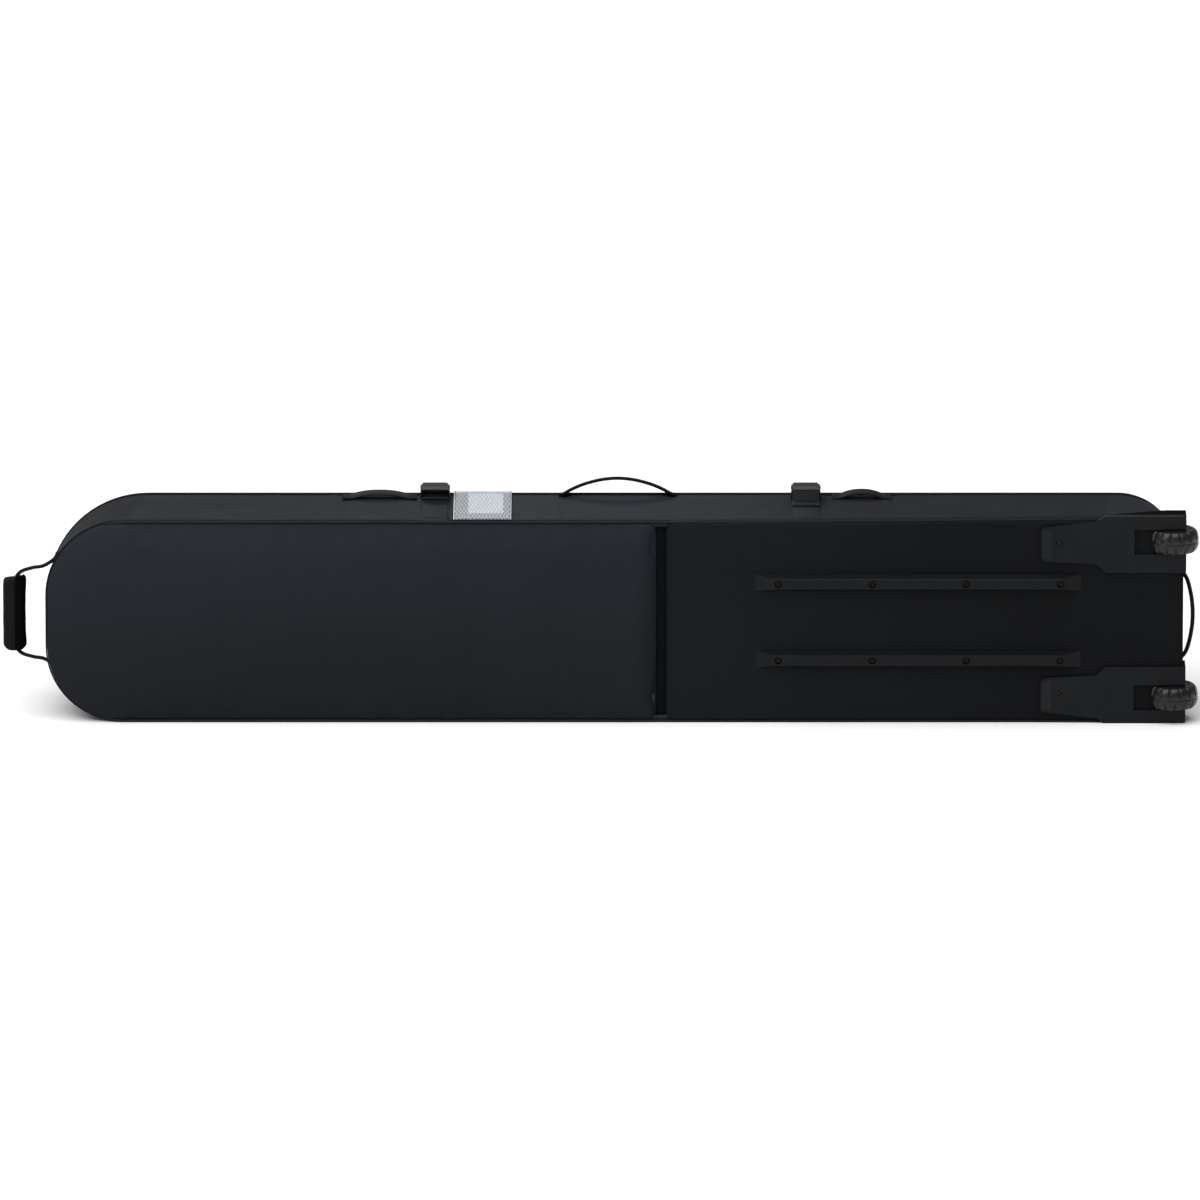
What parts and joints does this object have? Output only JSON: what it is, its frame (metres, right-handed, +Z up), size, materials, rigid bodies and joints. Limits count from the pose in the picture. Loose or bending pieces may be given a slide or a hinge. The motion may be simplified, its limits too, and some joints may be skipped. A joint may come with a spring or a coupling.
{
  "type": "wheeled snowboard bag",
  "caption": "Long padded snowboard bag on wheels with skid rails, zipped lid, straps with buckles, identification window and handles.",
  "frame": {"origin": "under the middle of the bag, on the plane of the long side that it rests on", "axes": "+X along the bag to the wheel end, -Y out of the rolling back with the skid rails, +Y out of the lid, +Z up"},
  "size_m": [1.7315, 0.2064, 0.325],
  "materials": {
    "shell_fabric": "woven polyester, near black",
    "base_fabric": "coated tarpaulin, satin",
    "foam": "closed-cell foam",
    "board": "polyethylene sheet",
    "rail_plastic": "moulded, satin",
    "housing_plastic": "moulded, fine grain",
    "wheel_rubber": "satin",
    "hub_plastic": "semi gloss",
    "steel": "zinc plated",
    "black_screw": "black oxide",
    "webbing": "ribbed nylon webbing",
    "buckle_plastic": "satin acetal",
    "grip_pad": "padded wrap",
    "piping": "welt piping",
    "window_film": "translucent reinforced film",
    "card": "blank card",
    "zipper": "coil zipper on tape",
    "slider_metal": "black enamel",
    "pull_rubber": "moulded"
  },
  "bodies": {
    "bag": {"axle_bolts": "steel", "axle_nuts": "steel", "back_piping": "piping", "base_board": "board", "base_foam": "foam", "base_nuts": "steel", "base_panel": "base_fabric", "front_border": "shell_fabric", "housing_screws": "black_screw", "lower_gusset": "shell_fabric", "nose_back_panel": "shell_fabric", "nose_foam": "foam", "nose_gusset": "shell_fabric", "nose_loop": "webbing", "rail_screws": "black_screw", "skid_rail_lower": "rail_plastic", "skid_rail_upper": "rail_plastic", "strap_1_socket": "buckle_plastic", "strap_1_webbing": "webbing", "strap_2_socket": "buckle_plastic", "strap_2_webbing": "webbing", "tail_gusset": "shell_fabric", "tail_loop": "webbing", "tie_down_buckles": "buckle_plastic", "tie_down_straps": "webbing", "upper_gusset": "shell_fabric", "valley_strip": "shell_fabric", "wheel_housing_lower": "housing_plastic", "wheel_housing_upper": "housing_plastic", "window_binding": "piping", "window_film": "window_film", "zipper_tape_body": "zipper"},
    "lid": {"lid_panel": "shell_fabric", "lid_foam": "foam", "zipper_tape_lid": "zipper"},
    "wheel_upper": {"wheel_tread_upper": "wheel_rubber", "wheel_hub_upper": "hub_plastic", "wheel_bearings_upper": "steel", "bearing_spacer_upper": "steel"},
    "wheel_lower": {"wheel_tread_lower": "wheel_rubber", "wheel_hub_lower": "hub_plastic", "wheel_bearings_lower": "steel", "bearing_spacer_lower": "steel"},
    "slider_upper": {"zip_slider_upper": "slider_metal"},
    "slider_lower": {"zip_slider_lower": "slider_metal"},
    "pull_upper": {"zip_pull_upper": "pull_rubber"},
    "pull_lower": {"zip_pull_lower": "pull_rubber"},
    "plug_1": {"strap_1_plug": "buckle_plastic", "strap_1_tail": "webbing"},
    "plug_2": {"strap_2_plug": "buckle_plastic", "strap_2_tail": "webbing"},
    "haul_handle": {"haul_handle_webbing": "webbing", "haul_handle_grip": "grip_pad"},
    "carry_handle": {"carry_handle": "webbing"},
    "tail_handle": {"tail_handle": "webbing"},
    "name_card": {"name_card": "card"},
    "prong_1_left": {"strap_1_prong_left": "buckle_plastic"},
    "prong_1_right": {"strap_1_prong_right": "buckle_plastic"},
    "prong_2_left": {"strap_2_prong_left": "buckle_plastic"},
    "prong_2_right": {"strap_2_prong_right": "buckle_plastic"}
  },
  "joints": [
    {"name": "lid_open", "type": "hinge", "parent": "bag", "child": "lid", "pos_m": [0.7, 0.096, 0.15], "axis": [0, 0, -1], "range_deg": [0, 165]},
    {"name": "wheel_upper_spin", "type": "hinge", "parent": "bag", "child": "wheel_upper", "pos_m": [0.829, -0.071, 0.27], "axis": [0, 0, 1], "continuous": true},
    {"name": "wheel_lower_spin", "type": "hinge", "parent": "bag", "child": "wheel_lower", "pos_m": [0.829, -0.071, 0.038], "axis": [0, 0, 1], "continuous": true},
    {"name": "zip_upper_slide", "type": "slide", "parent": "bag", "child": "slider_upper", "axis": [-1, 0, 0], "range_m": [0, 1.35]},
    {"name": "zip_pull_upper_swing", "type": "hinge", "parent": "slider_upper", "child": "pull_upper", "pos_m": [0.716, 0.0972, 0.266], "axis": [0, 0, 1], "range_deg": [0, 120]},
    {"name": "zip_lower_slide", "type": "slide", "parent": "bag", "child": "slider_lower", "axis": [-1, 0, 0], "range_m": [0, 1.35]},
    {"name": "zip_pull_lower_swing", "type": "hinge", "parent": "slider_lower", "child": "pull_lower", "pos_m": [0.716, 0.0972, 0.034], "axis": [0, 0, 1], "range_deg": [0, 120]},
    {"name": "buckle_1_release", "type": "slide", "parent": "bag", "child": "plug_1", "axis": [0, 1, 0], "range_m": [0, 0.032]},
    {"name": "buckle_1_squeeze_left", "type": "hinge", "parent": "plug_1", "child": "prong_1_left", "pos_m": [-0.2542, 0.073, 0.3095], "axis": [0, 0, 1], "range_deg": [0, 9], "stiffness_Nm_per_rad": 0.05},
    {"name": "buckle_1_squeeze_right", "type": "hinge", "parent": "plug_1", "child": "prong_1_right", "pos_m": [-0.2258, 0.073, 0.3095], "axis": [0, 0, -1], "range_deg": [0, 9], "stiffness_Nm_per_rad": 0.05},
    {"name": "buckle_2_release", "type": "slide", "parent": "bag", "child": "plug_2", "axis": [0, 1, 0], "range_m": [0, 0.032]},
    {"name": "buckle_2_squeeze_left", "type": "hinge", "parent": "plug_2", "child": "prong_2_left", "pos_m": [0.2838, 0.073, 0.3095], "axis": [0, 0, 1], "range_deg": [0, 9], "stiffness_Nm_per_rad": 0.05},
    {"name": "buckle_2_squeeze_right", "type": "hinge", "parent": "plug_2", "child": "prong_2_right", "pos_m": [0.3122, 0.073, 0.3095], "axis": [0, 0, -1], "range_deg": [0, 9], "stiffness_Nm_per_rad": 0.05},
    {"name": "haul_handle_swing", "type": "hinge", "parent": "bag", "child": "haul_handle", "pos_m": [-0.803, -0.024, 0.15], "axis": [0, 0, 1], "range_deg": [-25, 25], "stiffness_Nm_per_rad": 0.6},
    {"name": "carry_handle_tip", "type": "hinge", "parent": "bag", "child": "carry_handle", "pos_m": [0.024, 0.076, 0.3], "axis": [1, 0, 0], "range_deg": [-18, 18], "stiffness_Nm_per_rad": 0.3},
    {"name": "tail_handle_swing", "type": "hinge", "parent": "bag", "child": "tail_handle", "pos_m": [0.843, -0.052, 0.154], "axis": [0, 0, 1], "range_deg": [-15, 15], "stiffness_Nm_per_rad": 0.3},
    {"name": "name_card_slide", "type": "slide", "parent": "bag", "child": "name_card", "axis": [0, 1, 0], "range_m": [0, 0.11]}
  ],
  "couplings": [
    {"joint": "buckle_1_squeeze_right", "follows": "buckle_1_squeeze_left", "ratio": 1},
    {"joint": "buckle_2_squeeze_right", "follows": "buckle_2_squeeze_left", "ratio": 1}
  ]
}
